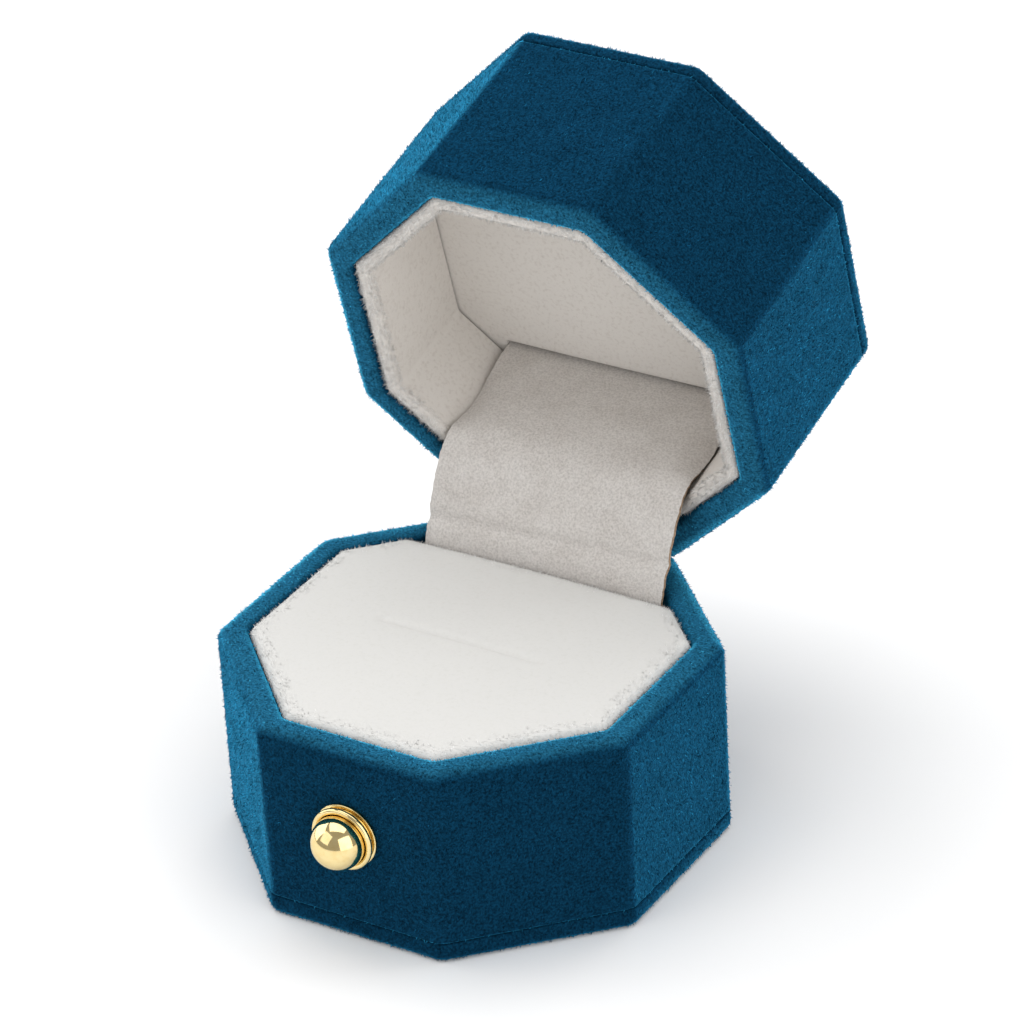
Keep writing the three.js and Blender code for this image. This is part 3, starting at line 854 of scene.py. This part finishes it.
class PlushPiece:
    """What the plush operators share."""

    bl_options = {"REGISTER", "UNDO"}

    def materials(self, context, where):
        settings = context.scene.ring_plush
        tones = [getattr(settings, where + "_" + tone) for tone in ("light", "shade")]
        made = []
        for part in ("ground", "pile"):
            name = "brushed_plush_" + where + "_" + part
            known = bpy.data.materials.get(name)
            made.append(known or plush(name, *tones, part == "pile"))
        return settings, *made

    def pile_on(self, piece, body, fibre, settings, seed, brushed, keep, share=1.0, dense=1.0):
        fibres = pile(
            piece,
            piece.name + "_pile",
            fibre,
            np.random.default_rng(seed),
            settings.pile_per_mm2 * dense,
            settings.pile_length * share,
            settings.pile_width,
            brushed,
            keep,
        )
        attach(fibres, body)


class RINGBOX_OT_ring_pad(PlushPiece, bpy.types.Operator):
    """The slotted ring pad in the base"""

    bl_idname = "ringbox.ring_pad"
    bl_label = "Ring pad"

    def execute(self, context):
        settings, ground, fibre = self.materials(context, "pad")
        slot = (settings.slot_y, settings.slot_half, settings.slot_depth, settings.slot_mouth)
        face = BASE_RIM + settings.proud
        flat = TRAY_FLAT + 0.15 * MM
        tuck = flat - PAD_HIGH.x
        bm = plush_panel(
            flat, PAD_HIGH.y, face, settings.crown, settings.roll_round, face - PAD_LOW.z, tuck, slot
        )
        pad = finish_piece("ring_pad", bm, "base", [ground], None, ["ring_pad_plush"])

        def edge(centres, normals):
            reach = octagon_reach(centres)[1]
            fade = 1 - 0.8 * np.random.default_rng(25).random(len(centres))
            near = (reach > flat - 2.6 * MM * fade) | (centres[:, 1] > PAD_HIGH.y - 2 * MM * fade)
            return near & (normals[:, 2] > 0.05) & (centres[:, 2] > BASE_RIM - 1.6 * MM)

        self.pile_on(pad, "base", fibre, settings, 21, (0, 0, 0), edge, 0.7)
        return {"FINISHED"}


class RINGBOX_OT_lid_collar(PlushPiece, bpy.types.Operator):
    """The plush collar that lines the lid's wall"""

    bl_idname = "ringbox.lid_collar"
    bl_label = "Lid collar"

    def execute(self, context):
        # The liner colours are the white plush darkened and warmed as painted shade inside the lid.
        settings, ground, fibre = self.materials(context, "liner")
        rim = LID_TOP - LINER_LOW.z
        low = LID_TOP - LINER_HIGH.z
        outer = LINER_HIGH.x + 0.2 * MM
        inner = LINER_HIGH.x - 1.8 * MM
        lip = (outer - inner) / 2
        back = inner + 0.95 * MM
        section = [(back, low), (back, rim - 1.6 * MM), (outer - 0.2 * MM, rim - 1.3 * MM)]
        section += quarter(outer - lip, rim - lip, lip, 0, 180, 12)
        section += [(inner, low)]
        bm = octagonal(section, 1.2 * MM)
        hold_flats(bm)
        cut_back(bm, LINER_HIGH.y + 2.2 * MM)
        collar = finish_piece(
            "lid_collar", bm, "lid", [ground], LID_PLACE, ["liner_plush"]
        )

        def inside(centres, normals):
            local, turned = as_drawn(LID_PLACE, centres, normals)
            inward = -(turned[:, 0] * local[:, 0] + turned[:, 1] * local[:, 1])
            fade = rim - 1.2 * MM - 4 * MM * np.random.default_rng(24).random(len(local)) ** 2
            return (local[:, 2] > rim - 1 * MM) | (inward > 0) & (local[:, 2] > fade)

        # The lighter fibres on the lip, thinning down the inside walls, are a painted highlight on the
        # lip.
        brushed = (LID_PLACE.to_3x3() @ Vector((0, 0, 0.2)))[:]
        self.pile_on(collar, "lid", fibre, settings, 22, brushed, inside, 0.95, 1.5)
        return {"FINISHED"}


class RINGBOX_OT_lid_ceiling(PlushPiece, bpy.types.Operator):
    """The plush panel in the bottom of the lid's hollow"""

    bl_idname = "ringbox.lid_ceiling"
    bl_label = "Lid ceiling"

    def execute(self, context):
        # The liner colours are the white plush darkened and warmed as painted shade inside the lid.
        ground = self.materials(context, "liner")[1]
        face = LID_TOP - CEILING_LOW.z - 0.02 * MM
        bm = plush_panel(
            CEILING_HIGH.x - 0.1 * MM,
            CEILING_HIGH.y,
            face,
            0.3 * MM,
            0.1 * MM,
            CEILING_HIGH.z - CEILING_LOW.z - 0.1 * MM,
            wing=LINER_HIGH.y - CEILING_HIGH.y,
        )
        ceiling = finish_piece(
            "lid_ceiling", bm, "lid", [ground], LID_PLACE, ["ceiling_plush"]
        )
        return {"FINISHED"}


# The strap.

def opened(y, rise):
    """Where a point of the closed lid, given by y and its height over the rim, lies when open."""
    return OPENED @ Vector((0, y, LID_RIM + rise))


def strap_route():
    """The strap's middle line, from its pocket behind the pad to its tab over the lid's ceiling."""
    base_y = PAD_HIGH.y + 0.7 * MM
    lid_y = CEILING_HIGH.y + 0.7 * MM
    depth = CEILING_LOW.z - LID_RIM
    return [
        Vector((0, base_y, STRAP_LOW.z)),
        Vector((0, base_y, BASE_RIM - 4 * MM)),
        Vector((0, base_y, BASE_RIM - 0.8 * MM)),
        opened(lid_y + 1 * MM, 0),
        opened(lid_y, depth / 3),
        opened(lid_y, depth * 2 / 3),
        opened(lid_y, depth + 5 * MM),
    ]


def smooth_line(points, steps):
    """A Catmull-Rom line through points, centripetal, as (place, distance) at even steps."""
    ends = [2 * points[0] - points[1], *points, 2 * points[-1] - points[-2]]
    fine = []
    for a, b, c, d in zip(ends, ends[1:], ends[2:], ends[3:]):
        t0 = 0
        t1 = t0 + (b - a).length ** 0.5
        t2 = t1 + (c - b).length ** 0.5
        t3 = t2 + (d - c).length ** 0.5
        for i in range(24):
            t = t1 + (t2 - t1) * i / 24
            p = a * ((t1 - t) / (t1 - t0)) + b * ((t - t0) / (t1 - t0))
            q = b * ((t2 - t) / (t2 - t1)) + c * ((t - t1) / (t2 - t1))
            r = c * ((t3 - t) / (t3 - t2)) + d * ((t - t2) / (t3 - t2))
            s = p * ((t2 - t) / (t2 - t0)) + q * ((t - t0) / (t2 - t0))
            w = q * ((t3 - t) / (t3 - t1)) + r * ((t - t1) / (t3 - t1))
            fine.append(s * ((t2 - t) / (t2 - t1)) + w * ((t - t1) / (t2 - t1)))
    fine.append(points[-1].copy())
    line = np.array(fine)
    reach = np.concatenate([[0], np.cumsum(np.linalg.norm(np.diff(line, axis=0), axis=1))])
    at = np.linspace(0, reach[-1], steps + 1)
    return np.stack([np.interp(at, reach, line[:, i]) for i in range(3)], 1), reach[-1]


class RINGBOX_OT_strap(bpy.types.Operator):
    """The suede strap over the hinge"""

    bl_idname = "ringbox.strap"
    bl_label = "Hinge strap"
    bl_options = {"REGISTER", "UNDO"}

    def execute(self, context):
        trim = context.scene.ring_trim
        route = strap_route()
        steps = 90
        line, reach = smooth_line(route, steps)
        along = np.gradient(line, axis=0)
        along /= np.linalg.norm(along, axis=1)[:, None]
        out = np.stack([np.zeros(steps + 1), -along[:, 2], along[:, 1]], 1)
        half = STRAP_HIGH.x
        columns = 60
        bm = bmesh.new()
        bmesh.ops.create_grid(bm, x_segments=columns, y_segments=steps, size=1)
        for v in bm.verts:
            row = round((v.co.y + 1) / 2 * steps)
            x = v.co.x * half
            s = row / steps
            free = bell(s, 0.42, 0.2)
            crease = bell(row, steps * 0.27 + 1.5 * v.co.x, 1.6)
            wave = math.sin(x / half * 2.3 + 9 * s) * 0.6 + math.sin(x / half * 5.1 - 14 * s) * 0.4
            ragged = math.sin(s * 61) * 0.5 + math.sin(s * 143 + 1) * 0.5
            edge = max(abs(v.co.x) - 0.9, 0) / 0.1
            hug = max(abs(v.co.x) - 0.72, 0) / 0.28
            hug *= hug * bell(s, 0.66, 0.12)
            lift = trim.strap_wave * (free * wave - 1.8 * crease) - trim.strap_hug * hug
            place = Vector(line[row]) + Vector(out[row]) * lift
            v.co = place + Vector((x + math.copysign(edge * ragged * 0.12 * MM, v.co.x), 0, 0))
        bmesh.ops.recalc_face_normals(bm, faces=bm.faces)
        towards = sum((f.normal for f in bm.faces), Vector()).dot(Vector((0, -1, 1)))
        if towards < 0:
            bmesh.ops.reverse_faces(bm, faces=bm.faces)
        bmesh.ops.solidify(bm, geom=bm.faces[:], thickness=trim.strap_thickness)
        for f in bm.faces:
            front = f.normal.dot(Vector((0, -0.7, 0.7))) > 0.1 and f.calc_area() > 0.02 * MM**2
            f.material_index = 0 if front else 1
        strap = finish_piece(
            "hinge_strap_suede",
            bm,
            None,
            [suede_face(trim), suede_back(trim)],
            None,
            ["hinge_strap"],
        )
        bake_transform(strap)
        return {"FINISHED"}


# The stud, the hardware and the inner pieces.

def turned_piece(section, z):
    """Spins a section of (radius, distance out) points round the stud's axis."""
    bm = bmesh.new()
    verts = [bm.verts.new((radius, -out, z)) for radius, out in section]
    edges = [bm.edges.new(pair) for pair in zip(verts, verts[1:])]
    bmesh.ops.spin(
        bm,
        geom=verts + edges,
        axis=(0, 1, 0),
        cent=(0, 0, z),
        angle=2 * math.pi,
        steps=72,
        use_merge=True,
    )
    bmesh.ops.remove_doubles(bm, verts=bm.verts, dist=0.001 * MM)
    return bm


class RINGBOX_OT_stud(bpy.types.Operator):
    """The gilt ball and its collar"""

    bl_idname = "ringbox.stud"
    bl_label = "Ball stud"
    bl_options = {"REGISTER", "UNDO"}

    def execute(self, context):
        gold = gold_plate(context.scene.ring_trim)
        z = (BALL_LOW.z + BALL_HIGH.z) / 2
        ball = (BALL_HIGH.z - BALL_LOW.z) / 2 + 0.48 * MM
        centre = -BALL_LOW.y - ball - 0.45 * MM
        face = -COLLAR_HIGH.y
        neck = math.sqrt(ball**2 - (centre - face) ** 2)
        start = math.degrees(math.asin(neck / ball)) - 90
        section = [(0, -BALL_HIGH.y), (0.9 * MM, -BALL_HIGH.y), (0.9 * MM, face), (neck, face)]
        section += quarter(0, centre, ball, start, 89.9, 40)
        section += [(0, centre + ball)]
        bm = turned_piece(section, z)
        finish_piece("gilt_ball", bm, "base", [gold], None, ["stud_ball"])
        self.collar(z, gold)
        return {"FINISHED"}

    def collar(self, z, gold):
        """A spool: thin foot, hollow waist, rolled lip and a dished mouth."""
        radius = (COLLAR_HIGH.z - COLLAR_LOW.z) / 2
        back, front = -COLLAR_HIGH.y - 0.25 * MM, -COLLAR_LOW.y
        lip, bore = 0.4 * MM, 3.25 * MM
        waist, foot = radius - 0.55 * MM, back + 0.45 * MM
        section = [(bore, back), (radius - 0.05 * MM, back), (radius, foot - 0.06 * MM)]
        section += [(radius - 0.06 * MM, foot), (waist, foot), (waist, front - 2 * lip)]
        section += quarter(radius - lip, front - lip, lip, -70, 170, 18)
        section += [(radius - 0.8 * MM, front - 0.6 * MM), (bore, front - 1 * MM), (bore, back)]
        bm = turned_piece(section, z)
        finish_piece("gilt_collar", bm, "base", [gold], None, ["stud_collar"])


class RINGBOX_OT_hardware(bpy.types.Operator):
    """Real finishes on the pieces that keep the frame's shape"""

    bl_idname = "ringbox.hardware"
    bl_label = "Hardware and inner pieces"
    bl_options = {"REGISTER", "UNDO"}

    def execute(self, context):
        trim = context.scene.ring_trim
        finishes = (
            (moulded_abs(trim), ("base_shell", "lid_shell")),
            (fibre_stock("tan_card", trim.card, "#7d6143", 0.3 * MM), ("insert_tray", "liner_card")),
            (
                fibre_stock("bookbinding_board", trim.board, "#6c5d4c", 0.4 * MM),
                ("bottom_board", "top_board", "ceiling_board"),
            ),
            (cut_foam(trim), ("foam_riser", "ring_pad_foam", "lid_spacer")),
            (
                zinc_steel(trim),
                ("hinge_leaf", "hinge_pin", "hinge_spring", "base_rivet", "lid_rivet", "stud_retainer"),
            ),
        )
        for material, starts in finishes:
            for name in frame["nodes"]:
                if name.startswith(starts):
                    mesh = frame["nodes"][name].data
                    mesh.materials.clear()
                    mesh.materials.append(material)
        return {"FINISHED"}


# The stage.

CAMERA = {
    "azimuth": math.radians(32.6633),
    "elevation": math.radians(30.4225),
    "roll": math.radians(-3.5106),
    "right": 0.1816,
    "up": 0.5192,
    "away": 22.5065,
    "lens": 188.38,
}


def look_camera():
    """The camera, placed in half-widths of the box from the middle of the base's rim."""
    az, el, roll = CAMERA["azimuth"], CAMERA["elevation"], CAMERA["roll"]
    back = Vector((math.sin(az) * math.cos(el), -math.cos(az) * math.cos(el), math.sin(el)))
    level = Vector((math.cos(az), math.sin(az), 0))
    over = back.cross(level)
    right = math.cos(roll) * level + math.sin(roll) * over
    up = math.cos(roll) * over - math.sin(roll) * level
    place = right * CAMERA["right"] + up * CAMERA["up"] + back * CAMERA["away"]
    place = place * OUTER_FLAT + Vector((0, 0, BASE_RIM))
    camera = bpy.data.cameras.new("look_camera")
    camera.lens = CAMERA["lens"]
    camera.sensor_width = 36
    camera.clip_start = 0.01
    made = bpy.data.objects.new("look_camera", camera)
    axes = Matrix((right, up, back)).transposed().to_4x4()
    made.matrix_world = Matrix.Translation(place) @ axes
    bpy.context.scene.collection.objects.link(made)
    bpy.context.scene.camera = made


def soft_light(name, place, aim, size, power):
    """A soft box, width by height, that looks at aim."""
    light = bpy.data.lights.new(name, "AREA")
    light.shape = "RECTANGLE"
    light.size, light.size_y = size
    light.energy = power
    made = bpy.data.objects.new(name, light)
    look = (Vector(aim) - Vector(place)).to_track_quat("-Z", "Y")
    made.matrix_world = Matrix.Translation(place) @ look.to_matrix().to_4x4()
    bpy.context.scene.collection.objects.link(made)


class RINGBOX_OT_stage(bpy.types.Operator):
    """Camera, soft light and a plain pale floor"""

    bl_idname = "ringbox.stage"
    bl_label = "Stage"
    bl_options = {"REGISTER", "UNDO"}

    def execute(self, context):
        look_camera()
        scene = context.scene
        scene.view_settings.view_transform = "Standard"
        world = bpy.data.worlds.new("studio")
        world.use_nodes = True
        sky = world.node_tree.nodes["Background"]
        sky.inputs[0].default_value = (1, 1, 1, 1)
        sky.inputs[1].default_value = 0.42
        scene.world = world
        aim = (0, 0.01, 0.04)
        soft_light("top_box", (-0.05, 0.15, 0.6), aim, (0.7, 0.7), 2.5)
        soft_light("left_box", (-0.6, -0.05, 0.3), aim, (0.55, 0.55), 1.6)
        soft_light("front_left_box", (-0.3, -0.5, 0.42), aim, (0.5, 0.5), 0.75)
        soft_light("right_box", (0.56, -0.28, 0.27), aim, (0.65, 0.65), 2.0)
        soft_light("back_right_box", (0.5, 0.4, 0.22), aim, (0.2, 0.4), 0.7)
        self.floor()
        return {"FINISHED"}

    def floor(self):
        bm = bmesh.new()
        bmesh.ops.create_grid(bm, x_segments=2, y_segments=2, size=3)
        mesh = bpy.data.meshes.new("floor")
        bm.to_mesh(mesh)
        bm.free()
        material, tree, shader, place = new_material("matt_white_paper")
        colour = grained(tree, place, 0.4, "#fafafa", "#ffffff")[1]
        surface(tree, shader, colour, Roughness=1.0, Specular_IOR_Level=0.0)
        mesh.materials.append(material)
        floor = bpy.data.objects.new("floor", mesh)
        bpy.context.scene.collection.objects.link(floor)


class RINGBOX_PT_panel(bpy.types.Panel):
    """Lists the ring box's pieces and their settings"""

    bl_idname = "RINGBOX_PT_panel"
    bl_label = "Ring box"
    bl_space_type = "VIEW_3D"
    bl_region_type = "UI"
    bl_category = "Ring box"

    def draw(self, context):
        layout = self.layout
        for operator in OPERATORS:
            layout.operator(operator.bl_idname)
        for group in GROUPS:
            settings = getattr(context.scene, GROUPS[group])
            box = layout.box()
            for key in group.__annotations__:
                box.prop(settings, key)


OPERATORS = (
    RINGBOX_OT_stage,
    RINGBOX_OT_base_cover,
    RINGBOX_OT_bottom_cover,
    RINGBOX_OT_lid_cover,
    RINGBOX_OT_top_cover,
    RINGBOX_OT_ring_pad,
    RINGBOX_OT_lid_collar,
    RINGBOX_OT_lid_ceiling,
    RINGBOX_OT_strap,
    RINGBOX_OT_stud,
    RINGBOX_OT_hardware,
)
GROUPS = {
    VelvetSettings: "ring_velvet",
    PlushSettings: "ring_plush",
    TrimSettings: "ring_trim",
}


def register():
    for group, name in GROUPS.items():
        bpy.utils.register_class(group)
        setattr(bpy.types.Scene, name, bpy.props.PointerProperty(type=group))
    for made in (*OPERATORS, RINGBOX_PT_panel):
        bpy.utils.register_class(made)


def unregister():
    for made in (RINGBOX_PT_panel, *reversed(OPERATORS)):
        bpy.utils.unregister_class(made)
    for group, name in GROUPS.items():
        delattr(bpy.types.Scene, name)
        bpy.utils.unregister_class(group)


def main():
    """Makes every piece in order."""
    register()
    for operator in OPERATORS:
        getattr(bpy.ops.ringbox, operator.bl_idname.split(".")[1])()


if __name__ == "__main__":
    main()
